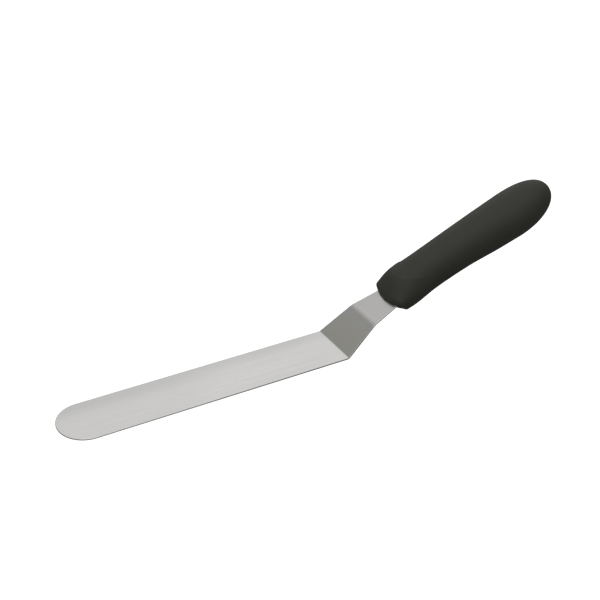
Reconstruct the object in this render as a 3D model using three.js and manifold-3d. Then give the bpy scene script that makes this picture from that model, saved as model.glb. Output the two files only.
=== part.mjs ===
// Offset spatula: a bent stainless steel blade with a moulded plastic handle.
//
// Units are millimetres. +X runs from the blade's tip towards the handle, +Z is up, and Y = 0 is
// the plane of symmetry. The origin is the middle of the blade's flat underside.
//
// The handle has a frame of its own: its X axis follows the tang into the handle, starting where
// the tang goes in, and its Z axis stands square to the tang.

import * as THREE from 'three';
import { mergeVertices } from 'three/addons/utils/BufferGeometryUtils.js';
import Module from 'manifold-3d';

const wasm = await Module();
wasm.setup();

// ---------------------------------------------------------------- driving dimensions

// Blade: one strip of sheet, flat at the front, bent up at the heel and eased down to the tang.
const SHEET = 1.0;
const BLADE_WIDTH = 38.1;
const FLAT_LENGTH = 190;
const TIP_DEPTH = 18;
const OFFSET_LENGTH = 27.6;
const OFFSET_ANGLE = THREE.MathUtils.degToRad(36.7);
const OFFSET_END_WIDTH = 29.5;
const HEEL_BEND_RADIUS = 2.0;
const TANG_SHOWN = 19.3;
const TANG_ANGLE = THREE.MathUtils.degToRad(21.6);
const TANG_BEND_RADIUS = 14;
const MOUTH_WIDTH = 23.7;

// Hidden tang: tapers inside the handle, with holes that the core is moulded through.
const TANG_HIDDEN = 95;
const TANG_END_WIDTH = 16;
const ANCHOR_HOLE_RADIUS = 3;
const ANCHOR_HOLES_AT = [30, 55, 80];

// Grip: elliptical sections along the handle's axis, from the mouth to the start of its round end.
const GRIP_SECTIONS = [
  { at: -4, halfWidth: 15.2, halfHeight: 12.7, rise: 1.7 },
  { at: 12, halfWidth: 16.4, halfHeight: 13.3, rise: 1.3 },
  { at: 32, halfWidth: 14.8, halfHeight: 13.4, rise: 2.1 },
  { at: 60, halfWidth: 15.4, halfHeight: 13.8, rise: 2.2 },
  { at: 84, halfWidth: 16.7, halfHeight: 14.9, rise: 1.1 },
  { at: 104, halfWidth: 17.9, halfHeight: 15.1, rise: 0.4 },
];
const GRIP_LENGTH = 138.8;
const END_ROUNDNESS = 2.3;
const END_RISE = 2.0;

// Nose of the grip: it opens from a thin lip with a bulging front edge, in a long curve on top
// and a short slope underneath, and its section goes from a lens to an ellipse.
const NOSE_FRONT = -1.1;
const NOSE_EDGE_RADIUS = 40;
const NOSE_LIP = 2.4;
const NOSE_TOP_LENGTH = 16;
const NOSE_UNDER_LENGTH = 8;
const NOSE_ROUNDNESS = 1.9;
const NOSE_ROUNDNESS_LENGTH = 24;

// Core: the first shot of plastic, with grooves that key the grip to it.
const CORE_START = 14;
const CORE_END = 129;
const CORE_WALL = 5;
const GROOVE_DEPTH = 1.5;
const GROOVE_WIDTH = 8;
const GROOVES_AT = [28, 50, 72, 94, 116];

// Every hidden fit between two pieces keeps this gap.
const GAP = 0.3;

// Facets.
const GRIP_SIDES = 48;
const CORE_SIDES = 32;
const BEND_STEPS = 8;
const OUTLINE_STEPS = 48;
const NOSE_STEP = 1.8;
const BODY_STEP = 4;
const END_STEPS = 9;

// ---------------------------------------------------------------- solids and geometry

// A three.js geometry as a manifold solid, with shared corners merged and empty triangles dropped.
function solid(geometry) {
  const bare = geometry.clone();
  bare.deleteAttribute('normal');
  bare.deleteAttribute('uv');
  const merged = mergeVertices(bare);
  const corners = merged.index.array;
  const kept = [];
  for (let i = 0; i < corners.length; i += 3) {
    const [a, b, c] = corners.slice(i, i + 3);
    if (a !== b && b !== c && c !== a) {
      kept.push(a, b, c);
    }
  }
  return new wasm.Manifold(new wasm.Mesh({
    numProp: 3,
    vertProperties: new Float32Array(merged.attributes.position.array),
    triVerts: new Uint32Array(kept),
  }));
}

// A manifold solid back as a three.js geometry.
function geometryOf(body) {
  const mesh = body.getMesh();
  const geometry = new THREE.BufferGeometry();
  geometry.setAttribute('position', new THREE.BufferAttribute(mesh.vertProperties, 3));
  geometry.setIndex(new THREE.BufferAttribute(mesh.triVerts, 1));
  geometry.computeVertexNormals();
  return geometry;
}

// A flat outline given thickness, centred on its own plane.
function plate(shape, thickness) {
  const geometry = new THREE.ExtrudeGeometry(shape, {
    depth: thickness,
    bevelEnabled: false,
    curveSegments: OUTLINE_STEPS,
  });
  return geometry.translate(0, 0, -thickness / 2);
}

// A round pin along Z.
function pin(radius, length, x) {
  const geometry = new THREE.CylinderGeometry(radius, radius, length, CORE_SIDES);
  return geometry.rotateX(Math.PI / 2).translate(x, 0, 0);
}

// A point of a unit circle pressed towards a lens (roundness below 2) or a box (above 2).
function press(value, roundness) {
  return Math.sign(value) * Math.abs(value) ** (2 / roundness);
}

// A closed body through rings along X. A ring says where it is, its half-width, its half-height
// above and below its widest line, the rise of that line, and the roundness of its section.
function loft(rings, sides) {
  const last = rings.length - 1;
  const profile = rings.map((ring, i) => new THREE.Vector2(1, i));
  profile.unshift(new THREE.Vector2(0, 0));
  profile.push(new THREE.Vector2(0, last));
  const geometry = new THREE.LatheGeometry(profile, sides);
  const places = geometry.attributes.position;
  for (let i = 0; i < places.count; i += 1) {
    const ring = rings[Math.round(places.getY(i))];
    const across = press(places.getX(i), ring.roundness);
    const up = press(places.getZ(i), ring.roundness);
    const halfHeight = up > 0 ? ring.above : ring.below;
    places.setXYZ(i, ring.at, -ring.halfWidth * across, ring.rise + halfHeight * up);
  }
  return geometry;
}

// ---------------------------------------------------------------- blade

// The middle line of the sheet seen from the side: points with the heading of the sheet at each.
function sheetLine() {
  const runs = [
    { length: FLAT_LENGTH, turn: OFFSET_ANGLE, radius: HEEL_BEND_RADIUS },
    { length: OFFSET_LENGTH, turn: TANG_ANGLE - OFFSET_ANGLE, radius: TANG_BEND_RADIUS },
    { length: TANG_SHOWN + TANG_HIDDEN, turn: 0, radius: 0 },
  ];
  const line = [];
  const place = new THREE.Vector2(-FLAT_LENGTH / 2, SHEET / 2);
  let heading = 0;
  let used = 0;
  const advance = (distance) => {
    place.x += distance * Math.cos(heading);
    place.y += distance * Math.sin(heading);
    line.push({ x: place.x, z: place.y, heading });
  };
  advance(0);
  for (const { length, turn, radius } of runs) {
    const tangent = radius * Math.tan(Math.abs(turn) / 2);
    advance(length - used - tangent);
    used = tangent;
    const step = turn / BEND_STEPS;
    const chord = 2 * radius * Math.sin(Math.abs(step) / 2);
    for (let i = 0; i < BEND_STEPS && turn !== 0; i += 1) {
      heading += step / 2;
      place.x += chord * Math.cos(heading);
      place.y += chord * Math.sin(heading);
      heading += step / 2;
      line.push({ x: place.x, z: place.y, heading });
    }
  }
  return line;
}

// The sheet's side view: its middle line thickened to both faces.
function sideShape() {
  const line = sheetLine();
  const face = (side) => line.map(({ x, z, heading }) => new THREE.Vector2(
    x - side * (SHEET / 2) * Math.sin(heading),
    z + side * (SHEET / 2) * Math.cos(heading),
  ));
  return new THREE.Shape([...face(-1), ...face(1).reverse()]);
}

// Where the tang goes into the handle.
const MOUTH = new THREE.Vector3(
  FLAT_LENGTH / 2 + OFFSET_LENGTH * Math.cos(OFFSET_ANGLE) + TANG_SHOWN * Math.cos(TANG_ANGLE),
  0,
  SHEET / 2 + OFFSET_LENGTH * Math.sin(OFFSET_ANGLE) + TANG_SHOWN * Math.sin(TANG_ANGLE),
);

// The blade seen from above: round tip, parallel edges, tapering offset and tang, round tang end.
function planShape() {
  const heel = FLAT_LENGTH / 2;
  const offsetEnd = heel + OFFSET_LENGTH * Math.cos(OFFSET_ANGLE);
  const tangRadius = TANG_END_WIDTH / 2;
  const tangEnd = MOUTH.x + (TANG_HIDDEN - tangRadius) * Math.cos(TANG_ANGLE);
  const shape = new THREE.Shape();
  shape.moveTo(-heel + TIP_DEPTH, -BLADE_WIDTH / 2);
  shape.lineTo(heel, -BLADE_WIDTH / 2);
  shape.lineTo(offsetEnd, -OFFSET_END_WIDTH / 2);
  shape.lineTo(MOUTH.x, -MOUTH_WIDTH / 2);
  shape.lineTo(tangEnd, -tangRadius);
  shape.absellipse(
    tangEnd, 0, tangRadius * Math.cos(TANG_ANGLE), tangRadius, -Math.PI / 2, Math.PI / 2, false,
  );
  shape.lineTo(MOUTH.x, MOUTH_WIDTH / 2);
  shape.lineTo(offsetEnd, OFFSET_END_WIDTH / 2);
  shape.lineTo(heel, BLADE_WIDTH / 2);
  shape.lineTo(-heel + TIP_DEPTH, BLADE_WIDTH / 2);
  shape.absellipse(
    -heel + TIP_DEPTH, 0, TIP_DEPTH, BLADE_WIDTH / 2, Math.PI / 2, 3 * Math.PI / 2, false,
  );
  return shape;
}

function blade(handleFrame) {
  const tall = 4 * BLADE_WIDTH;
  const side = plate(sideShape(), 2 * BLADE_WIDTH).rotateX(Math.PI / 2);
  const plan = plate(planShape(), 2 * tall);
  let body = solid(side).intersect(solid(plan));
  for (const at of ANCHOR_HOLES_AT) {
    const hole = pin(ANCHOR_HOLE_RADIUS, 10 * SHEET, at).applyMatrix4(handleFrame);
    body = body.subtract(solid(hole));
  }
  return geometryOf(body);
}

// ---------------------------------------------------------------- handle

// A smooth curve through the grip's sections: its slope at each is the slope between neighbours.
function sectionValue(at, key) {
  const last = GRIP_SECTIONS.length - 1;
  const place = THREE.MathUtils.clamp(at, GRIP_SECTIONS[0].at, GRIP_SECTIONS[last].at);
  let i = 0;
  while (i < last - 1 && place > GRIP_SECTIONS[i + 1].at) {
    i += 1;
  }
  const slope = (k) => {
    const before = GRIP_SECTIONS[Math.max(k - 1, 0)];
    const after = GRIP_SECTIONS[Math.min(k + 1, last)];
    return (after[key] - before[key]) / (after.at - before.at);
  };
  const start = GRIP_SECTIONS[i];
  const end = GRIP_SECTIONS[i + 1];
  const span = end.at - start.at;
  const t = (place - start.at) / span;
  const eased = t * t * (3 - 2 * t);
  const leaving = t * (1 - t) ** 2 * span * slope(i);
  const arriving = t * t * (1 - t) * span * slope(i + 1);
  return start[key] + (end[key] - start[key]) * eased + leaving - arriving;
}

// How far a place on the axis is along a stretch that starts at the nose's front, from 0 to 1.
function noseShare(at, length) {
  return THREE.MathUtils.clamp((at - NOSE_FRONT) / length, 0, 1);
}

// The grip's section at a place on its axis, made smaller all round by the inset.
function gripRing(at, inset = 0) {
  const roundStart = GRIP_SECTIONS.at(-1).at;
  const along = Math.max(0, (at - roundStart) / (GRIP_LENGTH - roundStart));
  const shrink = Math.max(0, 1 - along ** END_ROUNDNESS) ** (1 / END_ROUNDNESS);
  const halfHeight = sectionValue(at, 'halfHeight') * shrink;
  const topOpening = 1 - (1 - noseShare(at, NOSE_TOP_LENGTH)) ** 2;
  const underOpening = noseShare(at, NOSE_UNDER_LENGTH);
  return {
    at,
    halfWidth: sectionValue(at, 'halfWidth') * shrink - inset,
    above: THREE.MathUtils.lerp(NOSE_LIP, halfHeight, topOpening) - inset,
    below: THREE.MathUtils.lerp(NOSE_LIP, halfHeight, underOpening) - inset,
    rise: sectionValue(at, 'rise') + END_RISE * along ** 2,
    roundness: THREE.MathUtils.lerp(NOSE_ROUNDNESS, 2, noseShare(at, NOSE_ROUNDNESS_LENGTH)),
  };
}

// The grip's outside before its front edge is cut: close stations on the nose and the round end.
function gripBody() {
  const roundStart = GRIP_SECTIONS.at(-1).at;
  const rings = [];
  for (let at = NOSE_FRONT - NOSE_STEP; at < NOSE_TOP_LENGTH; at += NOSE_STEP) {
    rings.push(gripRing(at));
  }
  for (let at = NOSE_TOP_LENGTH; at < roundStart; at += BODY_STEP) {
    rings.push(gripRing(at));
  }
  for (let i = 0; i < END_STEPS; i += 1) {
    const reach = Math.sin((i / END_STEPS) * (Math.PI / 2));
    rings.push(gripRing(roundStart + (GRIP_LENGTH - roundStart) * reach));
  }
  return solid(loft(rings, GRIP_SIDES));
}

// The nose's front edge seen from above: an arc that bulges forwards, open wide behind it.
function frontEdge() {
  const centre = NOSE_FRONT + NOSE_EDGE_RADIUS;
  const wide = 2 * NOSE_EDGE_RADIUS;
  const shape = new THREE.Shape();
  shape.moveTo(centre, -NOSE_EDGE_RADIUS);
  shape.lineTo(centre, -wide);
  shape.lineTo(2 * GRIP_LENGTH, -wide);
  shape.lineTo(2 * GRIP_LENGTH, wide);
  shape.lineTo(centre, wide);
  shape.lineTo(centre, NOSE_EDGE_RADIUS);
  shape.absarc(centre, 0, NOSE_EDGE_RADIUS, Math.PI / 2, 3 * Math.PI / 2, false);
  return solid(plate(shape, 2 * wide));
}

// The room the tang takes inside the handle, with pins of plastic left standing in its holes.
function tangRoom() {
  const front = -2 * NOSE_LIP;
  const halfWidth = MOUTH_WIDTH / 2 + GAP;
  const endRadius = TANG_END_WIDTH / 2 + GAP;
  const end = TANG_HIDDEN - TANG_END_WIDTH / 2;
  const shape = new THREE.Shape();
  shape.moveTo(front, -halfWidth);
  shape.lineTo(0, -halfWidth);
  shape.lineTo(end, -endRadius);
  shape.absarc(end, 0, endRadius, -Math.PI / 2, Math.PI / 2, false);
  shape.lineTo(0, halfWidth);
  shape.lineTo(front, halfWidth);
  let room = solid(plate(shape, SHEET + 2 * GAP));
  for (const at of ANCHOR_HOLES_AT) {
    room = room.subtract(solid(pin(ANCHOR_HOLE_RADIUS - GAP, 10 * SHEET, at)));
  }
  return room;
}

// The grooved core. Grown by the gap it is also the room that the grip leaves for it.
function coreBody(grow) {
  const land = CORE_WALL - grow;
  const floor = land + GROOVE_DEPTH;
  const narrow = grow / 2;
  const rings = [gripRing(CORE_START - grow, land)];
  for (const at of GROOVES_AT) {
    const floorHalf = GROOVE_WIDTH / 2 - GROOVE_DEPTH - narrow;
    const landHalf = GROOVE_WIDTH / 2 - narrow;
    rings.push(gripRing(at - landHalf, land));
    rings.push(gripRing(at - floorHalf, floor));
    rings.push(gripRing(at + floorHalf, floor));
    rings.push(gripRing(at + landHalf, land));
  }
  rings.push(gripRing(CORE_END + grow, land));
  return solid(loft(rings, CORE_SIDES));
}

function handleCore() {
  return geometryOf(coreBody(0).subtract(tangRoom()));
}

function handleGrip() {
  const outside = gripBody().intersect(frontEdge());
  return geometryOf(outside.subtract(coreBody(GAP)).subtract(tangRoom()));
}

// ---------------------------------------------------------------- assembly

function piece(name, geometry, finish) {
  const mesh = new THREE.Mesh(geometry, new THREE.MeshStandardMaterial(finish));
  mesh.name = name;
  return mesh;
}

const handle = new THREE.Group();
handle.position.copy(MOUTH);
handle.rotation.y = -TANG_ANGLE;
handle.updateMatrix();
handle.add(
  piece('handle_core', handleCore(), { color: 0x3a3b39, roughness: 0.6, metalness: 0 }),
  piece('handle_grip', handleGrip(), { color: 0x262724, roughness: 0.5, metalness: 0 }),
);

const spatula = new THREE.Group();
spatula.add(
  piece('blade', blade(handle.matrix), { color: 0xc6c5c3, roughness: 0.3, metalness: 1 }),
  handle,
);

export default spatula;
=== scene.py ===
"""Looks of an offset spatula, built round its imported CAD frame.

Lengths are metres in the row frame: +X from the blade's tip towards the handle, +Z up, origin in
the middle of the blade's flat underside. The handle has a frame of its own: its X axis ("at" below)
follows the tang into the handle, starting where the tang goes in, Y ("w") runs across, and Z ("v")
stands square to the tang. The blade starts as a flat pattern: s along it, y across, n up from the
middle of the sheet.
"""

import math

import bmesh
import bpy
import numpy as np
from mathutils import Matrix, Vector


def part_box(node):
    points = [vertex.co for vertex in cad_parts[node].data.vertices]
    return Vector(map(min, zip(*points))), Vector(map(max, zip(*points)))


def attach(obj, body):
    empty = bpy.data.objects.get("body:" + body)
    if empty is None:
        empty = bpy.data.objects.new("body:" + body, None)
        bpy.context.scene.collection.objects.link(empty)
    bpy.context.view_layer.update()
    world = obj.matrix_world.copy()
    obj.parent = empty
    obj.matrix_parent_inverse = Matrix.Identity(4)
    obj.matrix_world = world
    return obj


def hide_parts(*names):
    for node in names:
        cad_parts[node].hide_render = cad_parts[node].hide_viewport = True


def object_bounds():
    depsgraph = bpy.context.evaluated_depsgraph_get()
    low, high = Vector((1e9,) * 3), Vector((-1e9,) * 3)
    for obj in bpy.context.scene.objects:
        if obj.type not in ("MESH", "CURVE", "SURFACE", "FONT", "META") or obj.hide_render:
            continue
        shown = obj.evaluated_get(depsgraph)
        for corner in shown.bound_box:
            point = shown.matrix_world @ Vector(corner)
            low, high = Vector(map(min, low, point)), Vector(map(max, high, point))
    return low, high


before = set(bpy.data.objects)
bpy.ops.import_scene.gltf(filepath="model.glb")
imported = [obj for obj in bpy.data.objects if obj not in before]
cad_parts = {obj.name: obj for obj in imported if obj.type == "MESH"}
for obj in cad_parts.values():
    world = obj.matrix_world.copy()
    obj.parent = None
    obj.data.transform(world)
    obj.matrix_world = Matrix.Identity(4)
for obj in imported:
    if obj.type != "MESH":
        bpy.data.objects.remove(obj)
CAD_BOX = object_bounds()
MM = 0.001

# ---------------------------------------------------------------- sizes

# Blade: one strip of sheet, flat at the front, bent up at the heel and eased down to the tang.
BLADE_LOW, BLADE_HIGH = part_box("blade")
BLADE_WIDTH = BLADE_HIGH.y - BLADE_LOW.y
FLAT_LENGTH = -2 * BLADE_LOW.x
SHEET = 1.0 * MM
TIP_DEPTH = 18 * MM
OFFSET_LENGTH = 27.6 * MM
OFFSET_ANGLE = math.radians(36.7)
OFFSET_END_WIDTH = 29.5 * MM
HEEL_BEND_RADIUS = 2.0 * MM
TANG_SHOWN = 19.3 * MM
TANG_HIDDEN = 95 * MM
TANG_ANGLE = math.radians(21.6)
TANG_BEND_RADIUS = 14 * MM
MOUTH_WIDTH = 23.7 * MM
TANG_END_WIDTH = 16 * MM
TANG_END_RADIUS = TANG_END_WIDTH / 2
ANCHOR_HOLE_RADIUS = 3 * MM
ANCHOR_HOLES_AT = [30 * MM, 55 * MM, 80 * MM]
EDGE_RADIUS = 0.28 * MM
CORNER_EASE = 1.3 * MM

# Grip sections: place on the handle's axis, half-width, half-height, rise of the centre.
GRIP_SECTIONS = np.array([
    (-4, 15.2, 12.7, 1.7),
    (12, 16.4, 13.3, 1.3),
    (32, 14.8, 13.4, 2.1),
    (60, 15.4, 13.8, 2.2),
    (84, 16.7, 14.9, 1.1),
    (104, 17.9, 15.1, 0.4),
]) * MM
ROUND_START = GRIP_SECTIONS[-1, 0]
GRIP_LENGTH = 138.8 * MM
END_ROUNDNESS = 2.3
END_RISE = 2.0 * MM

# Nose: it opens from a thin rounded lip, and its section goes from a lens to an ellipse.
NOSE_FRONT = -1.1 * MM
NOSE_EDGE_RADIUS = 40 * MM
NOSE_LIP = 2.4 * MM
NOSE_TOP_LENGTH = 16 * MM
NOSE_UNDER_LENGTH = 8 * MM
NOSE_ROUNDNESS = 1.9
NOSE_ROUNDNESS_LENGTH = 24 * MM
LIP_DEPTH = 1.4 * MM
LIP_ROUNDNESS = 3.0

# Collar: the low ridge behind the nose, whose crest is nearest the blade in the middle and falls
# back by the sweep (per metre) times the distance across, squared. It grows from the top onto the
# shoulders and dies out on the sides, at these angles from the top.
COLLAR_AT = 11.8 * MM
COLLAR_SWEEP = 82.0
COLLAR_HEIGHT = 0.75 * MM
COLLAR_EDGE = 0.9 * MM
COLLAR_FADE = 8.0 * MM
COLLAR_GROWS = (math.radians(-20), math.radians(28))
COLLAR_DIES = (math.radians(42), math.radians(66))
NECK_END = 60 * MM
NECK_EASING = 1.5

# Room inside the grip for the core and the tang.
CORE_START = 14 * MM
CORE_END = 129 * MM
CORE_WALL = 5 * MM
CORE_GAP = 0.3 * MM
TANG_GAP = 0.06 * MM
SLOT_OUTSIDE = 5 * MM
SLOT_INSIDE = 4 * MM

# ---------------------------------------------------------------- mesh fineness

# Sizes below which points merge, edges collapse, a reach counts as none and an end gets no cap.
MERGE_DISTANCE = 1e-7
LEAST_EDGE = 1e-8
LEAST_REACH = 1e-9
LEAST_CAP_AREA = 1e-9

BLADE_CREASE = math.radians(40)
GRIP_CREASE = math.radians(35)

# Rows along the blade, and points across its faces and round its edges.
TIP_ROWS = 48
TANG_END_ROWS = 24
BEND_ROWS = 15
BEND_MARGIN = 0.15 * MM
CORNER_ROWS = 13
CORNER_SAMPLES = 9
ROW_SPACING = 2.5 * MM
LEAST_ROW_SPACING = 0.02 * MM
FACE_POINTS = 15
FACE_MARGIN = 0.4 * MM
EDGE_POINTS = 5

# The slope that stands for the blade's outline where it runs square across, at its two ends.
STEEPEST_SLOPE = 1e6

# Rings along the grip and the core, and points round them.
GRIP_SIDES = 256
LIP_RINGS = 14
NOSE_SPACING = 0.5 * MM
NOSE_SPACING_END = 34 * MM
BODY_SPACING = 1.2 * MM
END_RINGS = 40
CORE_SIDES = 48
CORE_RINGS = 40

# The pins that cut the tang's holes have as many sides as the core, and are turned by this.
PIN_TURN = math.radians(2.3)


# ---------------------------------------------------------------- mesh helpers

def new_object(name, points, faces):
    """A mesh object from points and faces, with coincident points merged."""
    mesh = bpy.data.meshes.new(name)
    mesh.from_pydata([tuple(point) for point in points], [], faces)
    shape = bmesh.new()
    shape.from_mesh(mesh)
    bmesh.ops.remove_doubles(shape, verts=shape.verts, dist=MERGE_DISTANCE)
    bmesh.ops.dissolve_degenerate(shape, edges=shape.edges, dist=LEAST_EDGE)
    bmesh.ops.recalc_face_normals(shape, faces=shape.faces)
    shape.to_mesh(mesh)
    shape.free()
    obj = bpy.data.objects.new(name, mesh)
    bpy.context.scene.collection.objects.link(obj)
    return obj


def tube(name, rings):
    """A closed body through rings of points. The end rings are capped, or meet in a point or line."""
    rings = np.asarray(rings)
    count, sides = rings.shape[:2]
    index = np.arange(count * sides).reshape(count, sides)
    faces = []
    for i in range(count - 1):
        for j in range(sides):
            k = (j + 1) % sides
            faces.append((index[i, j], index[i, k], index[i + 1, k], index[i + 1, j]))
    for end in (0, count - 1):
        spokes = rings[end] - rings[end].mean(0)
        area = np.linalg.norm(np.cross(spokes, np.roll(spokes, -1, 0)).sum(0)) / 2
        if area > LEAST_CAP_AREA:
            faces.append(tuple(index[end]))
    return new_object(name, rings.reshape(-1, 3), faces)


def shade(obj, crease):
    """Smooth shading, with edges sharper than the crease angle kept crisp."""
    obj.data.shade_smooth()
    obj.data.set_sharp_from_angle(angle=crease)


def mesh_points(obj):
    """The mesh's points, as an array."""
    points = np.empty(len(obj.data.vertices) * 3)
    obj.data.vertices.foreach_get("co", points)
    return points.reshape(-1, 3)


def store(obj, name, values):
    """Keeps a vector for each vertex, for the materials to read."""
    layer = obj.data.attributes.new(name, "FLOAT_VECTOR", "POINT")
    layer.data.foreach_set("vector", np.asarray(values, np.float32).ravel())


def dissolve_spare_points(mesh):
    """Takes out points that only two edges meet, left where a cut crossed the diagonal of a quad."""
    shape = bmesh.new()
    shape.from_mesh(mesh)
    spare = [vert for vert in shape.verts if len(vert.link_edges) == 2]
    bmesh.ops.dissolve_verts(shape, verts=spare)
    shape.to_mesh(mesh)
    shape.free()


def cut(obj, tool):
    """Takes the tool's solid away from obj, and the tool out of the scene."""
    modifier = obj.modifiers.new("cut", "BOOLEAN")
    modifier.operation = "DIFFERENCE"
    modifier.solver = "EXACT"
    modifier.object = tool
    bpy.context.view_layer.update()
    evaluated = obj.evaluated_get(bpy.context.evaluated_depsgraph_get())
    mesh = bpy.data.meshes.new_from_object(evaluated)
    dissolve_spare_points(mesh)
    obj.modifiers.clear()
    old = obj.data
    obj.data = mesh
    bpy.data.meshes.remove(old)
    bpy.data.objects.remove(tool)


# ---------------------------------------------------------------- flat pattern

def sheet_segments():
    """The sheet's middle line as straight and curved segments, each with its start along the line,
    curvature, x, z and heading, and the line's whole length."""
    runs = [
        (FLAT_LENGTH, OFFSET_ANGLE, HEEL_BEND_RADIUS),
        (OFFSET_LENGTH, TANG_ANGLE - OFFSET_ANGLE, TANG_BEND_RADIUS),
        (TANG_SHOWN + TANG_HIDDEN, 0.0, 0.0),
    ]
    segments = []
    along = 0.0
    heading = 0.0
    used = 0.0
    x = -FLAT_LENGTH / 2
    z = SHEET / 2
    for length, turn, radius in runs:
        tangent = radius * math.tan(abs(turn) / 2)
        straight = length - used - tangent
        segments.append((along, 0.0, x, z, heading))
        along += straight
        x += straight * math.cos(heading)
        z += straight * math.sin(heading)
        used = tangent
        if turn:
            curvature = math.copysign(1 / radius, turn)
            segments.append((along, curvature, x, z, heading))
            x += (math.sin(heading + turn) - math.sin(heading)) / curvature
            z -= (math.cos(heading + turn) - math.cos(heading)) / curvature
            along += abs(turn) * radius
            heading += turn
    return segments, along


SEGMENTS, SHEET_LENGTH = sheet_segments()

# Places on the flat pattern: the corners of its outline, counted from the tip, and the starts of the
# hidden part and of its round end, counted back from the far end.
OFFSET_END = FLAT_LENGTH + OFFSET_LENGTH
MOUTH_CORNER = OFFSET_END + TANG_SHOWN
HIDDEN_START = SHEET_LENGTH - TANG_HIDDEN
TANG_ROUND_START = SHEET_LENGTH - TANG_END_RADIUS


def fold(s, y, n):
    """Bends flat-pattern points into place."""
    s, y, n = np.broadcast_arrays(np.asarray(s, float), y, n)
    x = np.empty(s.shape)
    z = np.empty(s.shape)
    angle = np.empty(s.shape)
    for start, curvature, x0, z0, heading in SEGMENTS:
        here = s >= start if start > 0 else np.full(s.shape, True)
        run = s[here] - start
        turned = heading + curvature * run
        if curvature:
            x[here] = x0 + (np.sin(turned) - math.sin(heading)) / curvature
            z[here] = z0 - (np.cos(turned) - math.cos(heading)) / curvature
        else:
            x[here] = x0 + run * math.cos(heading)
            z[here] = z0 + run * math.sin(heading)
        angle[here] = turned
    return np.stack([x - n * np.sin(angle), y, z + n * np.cos(angle)], -1)


def half_width(s):
    """Half the blade's width at a place on the flat pattern, with the corners a little eased."""
    places = [0, FLAT_LENGTH, OFFSET_END, MOUTH_CORNER, TANG_ROUND_START, SHEET_LENGTH]
    widths = [BLADE_WIDTH, BLADE_WIDTH, OFFSET_END_WIDTH, MOUTH_WIDTH, TANG_END_WIDTH, TANG_END_WIDTH]
    shifts = CORNER_EASE * np.linspace(-1, 1, CORNER_SAMPLES)
    eased = np.mean([np.interp(s + shift, places, widths) for shift in shifts], 0)
    tip = np.clip(1 - s / TIP_DEPTH, 0, 1)
    end = np.clip((s - TANG_ROUND_START) / TANG_END_RADIUS, 0, 1)
    return eased / 2 * np.sqrt(1 - tip**2) * np.sqrt(1 - end**2)


def blade_stations():
    """Places along the flat pattern where the blade has a row of points."""
    tip = TIP_DEPTH * (1 - np.cos(np.linspace(0, math.pi / 2, TIP_ROWS)))
    end = SHEET_LENGTH - TANG_END_RADIUS * (1 - np.sin(np.linspace(0, math.pi / 2, TANG_END_ROWS)))
    stations = [tip, end, np.arange(TIP_DEPTH, TANG_ROUND_START, ROW_SPACING)]
    for (start, curvature, *_), (stop, *_) in zip(SEGMENTS, SEGMENTS[1:]):
        if curvature:
            stations.append(np.linspace(start, stop, BEND_ROWS))
            stations.append([start - BEND_MARGIN, stop + BEND_MARGIN])
    for corner in (FLAT_LENGTH, OFFSET_END):
        stations.append(np.linspace(corner - 2 * CORNER_EASE, corner + 2 * CORNER_EASE, CORNER_ROWS))
    merged = np.sort(np.concatenate(stations))
    spaced = merged[np.concatenate([[True], np.diff(merged) > LEAST_ROW_SPACING])]
    spaced[-1] = SHEET_LENGTH
    return spaced


# ---------------------------------------------------------------- blade

def blade_rings():
    """Rings round the flat pattern: two flat faces, and edges rounded all the way round."""
    s = blade_stations()
    width = half_width(s)
    slope = np.gradient(width, s)
    slope[0] = STEEPEST_SLOPE
    slope[-1] = -STEEPEST_SLOPE
    out_s = -slope / np.hypot(slope, 1)
    out_y = 1 / np.hypot(slope, 1)
    quarter = np.linspace(math.pi / 2, 0, EDGE_POINTS)
    turn = np.concatenate([quarter, -quarter[::-1]])
    level = np.repeat([1, -1], EDGE_POINTS) * (SHEET / 2 - EDGE_RADIUS)
    inset = EDGE_RADIUS * (1 - np.cos(turn))
    height = level + EDGE_RADIUS * np.sin(turn)
    rings = []
    for i, place in enumerate(s):
        edge_s = place - inset * out_s[i]
        edge_y = np.maximum(width[i] - inset * out_y[i], 0)
        inner = edge_y[0]
        near = max(inner - FACE_MARGIN, 0) / inner if inner > 0 else 1
        across = np.concatenate([[1], np.linspace(near, -near, FACE_POINTS), [-1]]) * inner
        top = np.stack([np.full(across.shape, edge_s[0]), across, np.full(across.shape, height[0])], 1)
        right = np.stack([edge_s, -edge_y, height], 1)[1:-1]
        left = np.stack([edge_s, edge_y, height], 1)[1:-1][::-1]
        under = top[::-1] * (1, 1, -1)
        rings.append(np.concatenate([top, right, under, left]))
    return rings


def anchor_hole(place):
    """A pin through the flat pattern, to cut one of the tang's holes with. It is turned a little, so
    that its corners miss the sheet's own rows of points."""
    angle = np.linspace(0, 2 * math.pi, CORE_SIDES, endpoint=False) + PIN_TURN
    across = ANCHOR_HOLE_RADIUS * np.cos(angle)
    along = place + ANCHOR_HOLE_RADIUS * np.sin(angle)
    rings = [np.stack([along, across, np.full(angle.shape, n)], 1) for n in (-SHEET, SHEET)]
    return tube("anchor_hole", rings)


def build_blade():
    """The bent strip: made and pierced as a flat pattern, then folded."""
    obj = tube("blade_sheet", blade_rings())
    for at in ANCHOR_HOLES_AT:
        cut(obj, anchor_hole(HIDDEN_START + at))
    obj.data.name = obj.name
    flat = mesh_points(obj)
    store(obj, "sheet_place", flat)
    folded = fold(flat[:, 0], flat[:, 1], flat[:, 2])
    obj.data.vertices.foreach_set("co", folded.astype(np.float32).ravel())
    shade(obj, BLADE_CREASE)
    return obj


# ---------------------------------------------------------------- handle

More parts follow.
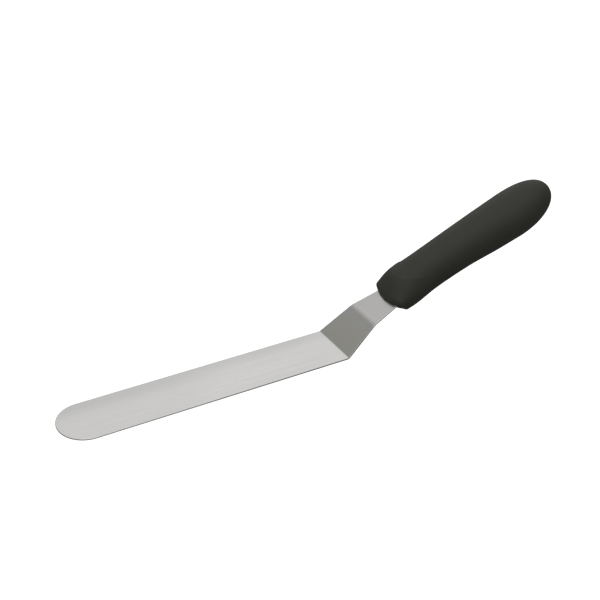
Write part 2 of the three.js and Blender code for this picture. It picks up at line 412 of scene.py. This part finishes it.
MOUTH = Vector((
    FLAT_LENGTH / 2 + OFFSET_LENGTH * math.cos(OFFSET_ANGLE) + TANG_SHOWN * math.cos(TANG_ANGLE),
    0,
    SHEET / 2 + OFFSET_LENGTH * math.sin(OFFSET_ANGLE) + TANG_SHOWN * math.sin(TANG_ANGLE),
))
HANDLE_FRAME = Matrix.Translation(MOUTH) @ Matrix.Rotation(-TANG_ANGLE, 4, "Y")


def section_value(at, column):
    """A smooth curve through the grip's sections: the slope at each is that between its neighbours."""
    places, values = GRIP_SECTIONS[:, 0], GRIP_SECTIONS[:, column]
    slopes = np.empty(len(places))
    slopes[1:-1] = (values[2:] - values[:-2]) / (places[2:] - places[:-2])
    slopes[0] = (values[1] - values[0]) / (places[1] - places[0])
    slopes[-1] = (values[-1] - values[-2]) / (places[-1] - places[-2])
    at = np.clip(at, places[0], places[-1])
    i = np.clip(np.searchsorted(places, at) - 1, 0, len(places) - 2)
    span = places[i + 1] - places[i]
    t = (at - places[i]) / span
    eased = t * t * (3 - 2 * t)
    leaving = t * (1 - t) ** 2 * span * slopes[i]
    arriving = t * t * (1 - t) * span * slopes[i + 1]
    return values[i] + (values[i + 1] - values[i]) * eased + leaving - arriving


def press(value, roundness):
    """A coordinate of a unit circle pressed towards a lens (below 2) or a box (above 2)."""
    return np.sign(value) * np.abs(value) ** (2 / roundness)


def nose_share(at, length):
    """How much of a length behind the nose's front has gone by, from 0 to 1."""
    return np.clip((at - NOSE_FRONT) / length, 0, 1)


def smoothstep(low, high, value):
    """An eased step from 0 at low to 1 at high."""
    t = np.clip((value - low) / (high - low), 0, 1)
    return t * t * (3 - 2 * t)


def grip_section(at, angle, inset=0.0, scale=1.0):
    """The grip's surface at a place on its axis and an angle round it: w, v and the centre's rise."""
    along = np.clip((at - ROUND_START) / (GRIP_LENGTH - ROUND_START), 0, 1)
    shrink = (1 - along**END_ROUNDNESS) ** (1 / END_ROUNDNESS)
    half_height = section_value(at, 2) * shrink
    top_opening = 1 - (1 - nose_share(at, NOSE_TOP_LENGTH)) ** 2
    under_opening = nose_share(at, NOSE_UNDER_LENGTH)
    above = NOSE_LIP + (half_height - NOSE_LIP) * top_opening
    below = NOSE_LIP + (half_height - NOSE_LIP) * under_opening
    roundness = NOSE_ROUNDNESS + (2 - NOSE_ROUNDNESS) * nose_share(at, NOSE_ROUNDNESS_LENGTH)
    across = press(np.cos(angle), roundness)
    up = press(np.sin(angle), roundness)
    w = (section_value(at, 1) * shrink - inset) * across * scale
    rise = section_value(at, 3) + END_RISE * along**2
    v = rise + (np.where(up > 0, above, below) - inset) * up * scale
    return w, v, rise


def sweep(at):
    """How fast a ring of the grip's mesh falls back from its middle, so that one ring follows the
    front edge, one the collar's crest, and those from the neck on stand straight across."""
    front = 1 / (2 * NOSE_EDGE_RADIUS)
    to_collar = front + (COLLAR_SWEEP - front) * smoothstep(NOSE_FRONT, COLLAR_AT, at)
    neck_share = np.clip((at - COLLAR_AT) / (NECK_END - COLLAR_AT), 0, 1)
    to_neck = COLLAR_SWEEP * (1 - neck_share) ** NECK_EASING
    return np.where(at < COLLAR_AT, to_collar, to_neck)


def collar_height(at, w, angle):
    """How far the collar stands out: most on the shoulders, steeper on its handle side."""
    ahead = COLLAR_AT + COLLAR_SWEEP * w**2 - at
    rising = 1 - np.exp(-np.maximum(ahead, 0) / COLLAR_EDGE)
    fading = np.exp(-np.maximum(ahead, 0) / COLLAR_FADE)
    from_top = np.abs(angle - math.pi / 2)
    shoulder = smoothstep(*COLLAR_GROWS, from_top)
    side = smoothstep(*COLLAR_DIES, from_top)
    return COLLAR_HEIGHT * rising * fading * shoulder * (1 - side)


def grip_stations():
    """Places of the grip's rings along its axis, and the scale of each: the rounded lip grows from
    nothing, and the rest is full size."""
    lip = np.linspace(0, math.pi / 2, LIP_RINGS)
    lip_at = NOSE_FRONT + LIP_DEPTH * (1 - np.cos(lip) ** (2 / LIP_ROUNDNESS))
    lip_scale = np.sin(lip) ** (2 / LIP_ROUNDNESS)
    nose_at = np.arange(NOSE_FRONT + LIP_DEPTH, NOSE_SPACING_END, NOSE_SPACING)[1:]
    body_at = np.arange(NOSE_SPACING_END, ROUND_START, BODY_SPACING)
    end = np.linspace(0, math.pi / 2, END_RINGS)
    end_at = ROUND_START + (GRIP_LENGTH - ROUND_START) * np.sin(end)
    full_size = np.ones(len(nose_at) + len(body_at) + len(end_at))
    places = np.concatenate([lip_at, nose_at, body_at, end_at])
    scales = np.concatenate([lip_scale, full_size])
    return places, scales


def grip_rings():
    """Rings of the grip's outside, with the collar raised on them."""
    angle = np.linspace(0, 2 * math.pi, GRIP_SIDES, endpoint=False)
    rings = []
    for nominal, scale in zip(*grip_stations()):
        w, _, _ = grip_section(nominal, angle, scale=scale)
        at = nominal + sweep(nominal) * w**2
        w, v, rise = grip_section(at, angle, scale=scale)
        reach = np.hypot(w, v - rise)
        grown = 1 + collar_height(at, w, angle) * scale / np.maximum(reach, LEAST_REACH)
        rings.append(np.stack([at, w * grown, rise + (v - rise) * grown], 1))
    return rings


def core_room():
    """The room that the grip leaves for the core."""
    angle = np.linspace(0, 2 * math.pi, CORE_SIDES, endpoint=False)
    rings = []
    for at in np.linspace(CORE_START - CORE_GAP, CORE_END + CORE_GAP, CORE_RINGS):
        w, v, _ = grip_section(at, angle, inset=CORE_WALL - CORE_GAP)
        rings.append(np.stack([np.full(angle.shape, at), w, v], 1))
    return tube("core_room", rings)


def tang_room():
    """The slot that the grip leaves for the tang, from in front of the lip to inside the core's room."""
    taper = (MOUTH_WIDTH - TANG_END_WIDTH) / 2 / (TANG_HIDDEN - TANG_END_RADIUS)
    level = SHEET / 2 + TANG_GAP
    rings = []
    for at in (NOSE_FRONT - SLOT_OUTSIDE, CORE_START + SLOT_INSIDE):
        half = MOUTH_WIDTH / 2 - taper * max(at, 0) + TANG_GAP
        rings.append([(at, half, level), (at, -half, level), (at, -half, -level), (at, half, -level)])
    return tube("tang_room", rings)


def build_grip():
    """The grip in the handle's frame, hollowed for the core and the tang, then put in place."""
    obj = tube("grip_shell", grip_rings())
    cut(obj, core_room())
    cut(obj, tang_room())
    obj.data.name = obj.name
    store(obj, "grip_place", mesh_points(obj))
    obj.data.transform(HANDLE_FRAME)
    shade(obj, GRIP_CREASE)
    return obj


# ---------------------------------------------------------------- shader nodes

# Most of a noise falls between these values.
NOISE_RANGE = (0.3, 0.7)


class Nodes:
    """A small helper that adds shader nodes to a tree and links them."""

    def __init__(self, tree):
        self.tree = tree
        tree.nodes.clear()

    def add(self, kind, settings=None, **inputs):
        """Adds a node. An input goes by its name, with _ for a space, or by i and its number."""
        node = self.tree.nodes.new(kind)
        for key, value in (settings or {}).items():
            setattr(node, key, value)
        for key, value in inputs.items():
            numbered = key[0] == "i" and key[1:].isdigit()
            socket = node.inputs[int(key[1:]) if numbered else key.replace("_", " ")]
            if isinstance(value, bpy.types.NodeSocket):
                self.tree.links.new(value, socket)
            else:
                socket.default_value = value
        return node

    def attribute(self, name):
        return self.add("ShaderNodeAttribute", {"attribute_name": name}).outputs["Vector"]

    def split(self, vector):
        return self.add("ShaderNodeSeparateXYZ", Vector=vector).outputs

    def scaled(self, vector, scale):
        return self.add("ShaderNodeVectorMath", {"operation": "MULTIPLY"}, i0=vector, i1=scale).outputs[0]

    def noise(self, vector, scale=1.0, detail=2.0, roughness=0.5):
        """Noise from 0 to 1."""
        inputs = {"Scale": scale, "Detail": detail, "Roughness": roughness}
        return self.add("ShaderNodeTexNoise", Vector=vector, **inputs).outputs["Fac"]

    def math(self, operation, first, *others):
        """Chains an operation on two values through all the values."""
        result = first
        for other in others:
            result = self.add("ShaderNodeMath", {"operation": operation}, i0=result, i1=other).outputs[0]
        return result

    def sum(self, *values):
        return self.math("ADD", *values)

    def product(self, *values):
        return self.math("MULTIPLY", *values)

    def ramp(self, value, between, levels):
        """A straight ramp from one level to the other between two values, and flat beyond them."""
        low, high = between
        start, stop = levels
        return self.add("ShaderNodeMapRange", i0=value, i1=low, i2=high, i3=start, i4=stop).outputs[0]

    def colour(self, tones, tint):
        """A colour whose channels are the tones times the tint."""
        red, green, blue = [self.product(tone, part) for tone, part in zip(tones, tint)]
        return self.add("ShaderNodeCombineColor", Red=red, Green=green, Blue=blue).outputs[0]

    def bump(self, height, distance, strength, **under):
        """A bumped normal, over another one where it is given as Normal."""
        node = self.add("ShaderNodeBump", Height=height, Distance=distance, Strength=strength, **under)
        return node.outputs["Normal"]

    def surface(self, **inputs):
        """The principled shader and the material's output."""
        shader = self.add("ShaderNodeBsdfPrincipled", **inputs)
        self.add("ShaderNodeOutputMaterial", Surface=shader.outputs[0])


def new_material(name):
    material = bpy.data.materials.new(name)
    material.use_nodes = True
    return material, Nodes(material.node_tree)


# ---------------------------------------------------------------- steel

STEEL_TINT = (0.640, 0.635, 0.622)
STEEL_BRIGHTNESS = (0.95, 1.03)
STEEL_ROUGHNESS = (0.34, 0.26)
STEEL_ANISOTROPY = 0.65
BRUSHING_DEPTH = 0.006 * MM
BRUSHING_STRENGTH = 0.6

# Noise cycles per metre along, across and through the sheet, and the share of each noise.
GRAIN_SCALE = (28, 3800, 900)
STREAK_SCALE = (9, 420, 120)
CLOUD_SCALE = (14, 26, 20)
GRAIN_SHARE = 0.55
STREAK_SHARE = 0.45
CLOUD_SHARE = 0.35

# Painted shade and light on the steel, as changes in brightness that are shares of the plain
# face's; and a change in blue on the offset.
EDGE_AT_TIP = -0.6
EDGE_ON_FLAT = (0.35, -0.35)
EDGE_ON_OFFSET = -0.45
EDGE_ON_TANG = 0.6
FACE_AT_TIP = 0.04
FACE_ON_TANG = -0.11
FACE_ON_FAR_SIDE = (-0.13, -0.08)
BLUE_ON_OFFSET = -0.06

# Where painted shade darkens the flat's face towards its far edge, across the blade.
FAR_SIDE = (5 * MM, 15 * MM)


def edge_painted_shade(nodes, place):
    """Painted shade and reflection on the sheared edges: darker at the tip, lighter then darker along the
    flat, darkest on the offset, lighter again on the tang. Each change adds to the one before it along
    the blade, and the faces keep 1."""
    axes = nodes.split(place)
    along = axes["X"]
    level = nodes.math("ABSOLUTE", axes["Z"], 0.0)
    rounding = (SHEET / 2 - 0.5 * EDGE_RADIUS, SHEET / 2 - 0.1 * EDGE_RADIUS)
    edge = nodes.ramp(level, rounding, (1.0, 0.0))
    tip = nodes.ramp(along, (0.3 * TIP_DEPTH, TIP_DEPTH), (EDGE_AT_TIP, 0.0))
    flat = nodes.ramp(along, (0.3 * FLAT_LENGTH, FLAT_LENGTH), EDGE_ON_FLAT)
    offset = nodes.ramp(along, (FLAT_LENGTH, FLAT_LENGTH + 3 * MM), (0.0, EDGE_ON_OFFSET))
    tang = nodes.ramp(along, (OFFSET_END - 3 * MM, OFFSET_END), (0.0, EDGE_ON_TANG))
    change = nodes.sum(tip, flat, offset, tang)
    return nodes.sum(nodes.product(edge, change), 1.0)


def face_painted_shade(nodes, place):
    """Painted light and shade on the faces: brightest at the tip, darker towards the flat's far edge
    and on the tang.
    """
    axes = nodes.split(place)
    along = axes["X"]
    tip = nodes.ramp(along, (0.0, 0.4 * FLAT_LENGTH), (FACE_AT_TIP, 0.0))
    tang = nodes.ramp(along, (OFFSET_END - 4 * MM, OFFSET_END + 4 * MM), (0.0, FACE_ON_TANG))
    far = nodes.ramp(axes["Y"], FAR_SIDE, (0.0, 1.0))
    depth = nodes.ramp(along, (0.1 * FLAT_LENGTH, FLAT_LENGTH), FACE_ON_FAR_SIDE)
    on_flat = nodes.ramp(along, (FLAT_LENGTH, FLAT_LENGTH + 2 * MM), (1.0, 0.0))
    # Painted shade towards the flat's far edge.
    far_painted_shade = nodes.product(far, depth, on_flat)
    return nodes.sum(tip, tang, far_painted_shade, 1.0)


def offset_blue_share(nodes, place):
    """How much of its blue the sheet keeps: the offset is faintly yellower."""
    along = nodes.split(place)["X"]
    begins = nodes.ramp(along, (FLAT_LENGTH - 1 * MM, FLAT_LENGTH + 2 * MM), (1.0, 1.0 + BLUE_ON_OFFSET))
    ends = nodes.ramp(along, (OFFSET_END - 10 * MM, OFFSET_END), (0.0, -BLUE_ON_OFFSET))
    return nodes.sum(begins, ends)


def steel_material():
    """Stainless sheet brushed along its length: stretched grain in roughness, tint and bump. The
    tangent lies across the sheet, which spreads reflections across the brushing."""
    material, nodes = new_material("brushed_stainless")
    place = nodes.attribute("sheet_place")
    grain = nodes.noise(nodes.scaled(place, GRAIN_SCALE), detail=4.0, roughness=0.6)
    streaks = nodes.noise(nodes.scaled(place, STREAK_SCALE), detail=3.0, roughness=0.55)
    cloud = nodes.noise(nodes.scaled(place, CLOUD_SCALE))
    brushing = nodes.sum(nodes.product(grain, GRAIN_SHARE), nodes.product(streaks, STREAK_SHARE))
    drift = nodes.product(nodes.math("SUBTRACT", cloud, 0.5), CLOUD_SHARE)
    shift = nodes.sum(brushing, drift)
    plain = nodes.ramp(shift, NOISE_RANGE, STEEL_BRIGHTNESS)
    # The plain tone times painted shade and light on the edges and faces.
    bright = nodes.product(plain, edge_painted_shade(nodes, place), face_painted_shade(nodes, place))
    blue = nodes.product(bright, offset_blue_share(nodes, place))
    nodes.surface(
        Base_Color=nodes.colour((bright, bright, blue), STEEL_TINT),
        Metallic=1.0,
        Roughness=nodes.ramp(shift, NOISE_RANGE, STEEL_ROUGHNESS),
        Anisotropic=STEEL_ANISOTROPY,
        Normal=nodes.bump(brushing, BRUSHING_DEPTH, BRUSHING_STRENGTH),
        Tangent=nodes.add("ShaderNodeCombineXYZ", X=0.0, Y=1.0, Z=0.0).outputs[0],
    )
    return material


# ---------------------------------------------------------------- plastics

GRIP_TINT = (0.0323, 0.0326, 0.0250)
GRIP_BRIGHTNESS = (0.9, 1.1)
GRIP_ROUGHNESS = (0.60, 0.68)
GRIP_SPECULAR = 0.3
TEXTURE_SCALE = 3200.0
TEXTURE_DEPTH = 0.012 * MM
TEXTURE_SHARE = 0.4
SWELL_SCALE = 90.0
SWELL_DEPTH = 0.05 * MM
SWELL_SHARE = 0.6

CORE_SCALE = 900.0
CORE_GREY = (0.038, 0.055)
CORE_ROUGHNESS = (0.55, 0.65)
CORE_TEXTURE_DEPTH = 0.03 * MM


def grip_material():
    """Black moulded plastic with a fine satin texture over a slow unevenness."""
    material, nodes = new_material("satin_black_plastic")
    place = nodes.attribute("grip_place")
    texture = nodes.noise(place, TEXTURE_SCALE)
    swell = nodes.noise(place, SWELL_SCALE)
    mixed = nodes.sum(nodes.product(texture, TEXTURE_SHARE), nodes.product(swell, SWELL_SHARE))
    tone = nodes.ramp(mixed, NOISE_RANGE, GRIP_BRIGHTNESS)
    fine = nodes.bump(texture, TEXTURE_DEPTH, strength=0.5)
    nodes.surface(
        Base_Color=nodes.colour((tone, tone, tone), GRIP_TINT),
        Roughness=nodes.ramp(swell, NOISE_RANGE, GRIP_ROUGHNESS),
        Specular_IOR_Level=GRIP_SPECULAR,
        Normal=nodes.bump(swell, SWELL_DEPTH, strength=0.4, Normal=fine),
    )
    return material


def core_material():
    """The hidden core: the same family of plastic, as moulded and a little greyer."""
    material, nodes = new_material("core_plastic")
    place = nodes.add("ShaderNodeTexCoord").outputs["Object"]
    texture = nodes.noise(place, CORE_SCALE, detail=3.0)
    tone = nodes.ramp(texture, NOISE_RANGE, CORE_GREY)
    nodes.surface(
        Base_Color=nodes.add("ShaderNodeCombineColor", Red=tone, Green=tone, Blue=tone).outputs[0],
        Roughness=nodes.ramp(texture, NOISE_RANGE, CORE_ROUGHNESS),
        Normal=nodes.bump(texture, CORE_TEXTURE_DEPTH, strength=0.5),
    )
    return material


def finish_piece(obj, material):
    """Gives a piece its material, in a material slot, and its body."""
    obj.data.materials.clear()
    obj.data.materials.append(material)
    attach(obj, "root")


# ---------------------------------------------------------------- studio

CAMERA_AZIMUTH = math.radians(-29.07)
CAMERA_ELEVATION = math.radians(30.52)
CAMERA_DISTANCE = 0.75
CAMERA_TARGET = (CAD_BOX[0] + CAD_BOX[1]) / 2 + Vector((-1.73, 24.3, -15.93)) * MM
CAMERA_LENS = 68.08
CAMERA_SENSOR = 36.0
CAMERA_NEAREST = 0.01

FLOOR_DROP = 0.2 * MM
FLOOR_SIZE = 12.0
FLOOR_GREY = 0.33
FLOOR_LIFT = 1.0
WHITE = (1.0, 1.0, 1.0, 1.0)

# Softboxes in the sky round the object: direction and brightness. The camera is on the -Y side.
ROOM_GLOW = 0.13
SOFTBOX_FOCUS = 8.0
SOFTBOXES = [
    ((0.0, 0.0, 1.0), 1.45),
    ((-0.2, -0.5, 0.85), 1.0),
    ((0.1, 0.5, 0.85), 0.16),
    ((0.55, 0.75, 0.4), 0.89),
    ((0.0, 0.9, 0.4), 0.29),
    ((-1.0, 0.0, 0.3), 0.97),
    ((-0.6, -0.75, 0.3), 0.28),
]


def build_camera():
    """A viewpoint on the blade's side, a little above, with the handle to the right."""
    camera = bpy.data.objects.new("camera", bpy.data.cameras.new("camera"))
    bpy.context.scene.collection.objects.link(camera)
    flat = math.cos(CAMERA_ELEVATION)
    back = Vector((
        math.sin(CAMERA_AZIMUTH) * flat,
        -math.cos(CAMERA_AZIMUTH) * flat,
        math.sin(CAMERA_ELEVATION),
    ))
    camera.location = CAMERA_TARGET + back * CAMERA_DISTANCE
    camera.rotation_mode = "QUATERNION"
    camera.rotation_quaternion = (-back).to_track_quat("-Z", "Y")
    camera.data.lens = CAMERA_LENS
    camera.data.sensor_width = CAMERA_SENSOR
    camera.data.clip_start = CAMERA_NEAREST
    bpy.context.scene.camera = camera


def build_floor():
    """Plain pale paper just under the blade: the camera sees it white, and it lights the object as
    grey paper does."""
    half = FLOOR_SIZE / 2
    corners = [(-half, -half, 0), (half, -half, 0), (half, half, 0), (-half, half, 0)]
    floor = new_object("floor", corners, [(0, 1, 2, 3)])
    floor.location.z = CAD_BOX[0].z - FLOOR_DROP
    material, nodes = new_material("floor_paper")
    diffuse = nodes.add("ShaderNodeBsdfDiffuse", Color=(FLOOR_GREY, FLOOR_GREY, FLOOR_GREY, 1.0))
    seen = nodes.add("ShaderNodeLightPath").outputs["Is Camera Ray"]
    lift = nodes.add("ShaderNodeEmission", Strength=nodes.product(seen, FLOOR_LIFT))
    both = nodes.add("ShaderNodeAddShader", i0=diffuse.outputs[0], i1=lift.outputs[0])
    nodes.add("ShaderNodeOutputMaterial", Surface=both.outputs[0])
    floor.data.materials.append(material)


def softbox(nodes, direction, centre, brightness):
    """A soft patch of sky, brightest towards its centre."""
    centre = Vector(centre).normalized()
    facing = nodes.add("ShaderNodeVectorMath", {"operation": "DOT_PRODUCT"}, i0=direction, i1=centre)
    towards = nodes.math("MAXIMUM", facing.outputs["Value"], 0.0)
    return nodes.product(nodes.math("POWER", towards, SOFTBOX_FOCUS), brightness)


def build_light():
    """A dim room with softboxes: three above, two behind, one at the left, one in front at the left.
    The camera sees plain white past the floor."""
    world = bpy.data.worlds.new("studio")
    bpy.context.scene.world = world
    world.use_nodes = True
    nodes = Nodes(world.node_tree)
    direction = nodes.add("ShaderNodeTexCoord").outputs["Generated"]
    glow = nodes.sum(ROOM_GLOW, *[softbox(nodes, direction, *box) for box in SOFTBOXES])
    seen = nodes.add("ShaderNodeLightPath").outputs["Is Camera Ray"]
    lit = nodes.add("ShaderNodeBackground", Color=WHITE, Strength=glow)
    plain = nodes.add("ShaderNodeBackground", Color=WHITE, Strength=1.0)
    mixed = nodes.add("ShaderNodeMixShader", i0=seen, i1=lit.outputs[0], i2=plain.outputs[0])
    nodes.add("ShaderNodeOutputWorld", Surface=mixed.outputs[0])


# ---------------------------------------------------------------- scene

blade = build_blade()
finish_piece(blade, steel_material())
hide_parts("blade")

grip = build_grip()
finish_piece(grip, grip_material())
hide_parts("handle_grip")

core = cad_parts["handle_core"]
core.data.materials.clear()
core.data.materials.append(core_material())

build_camera()
build_floor()
build_light()
bpy.context.scene.view_settings.view_transform = "Standard"
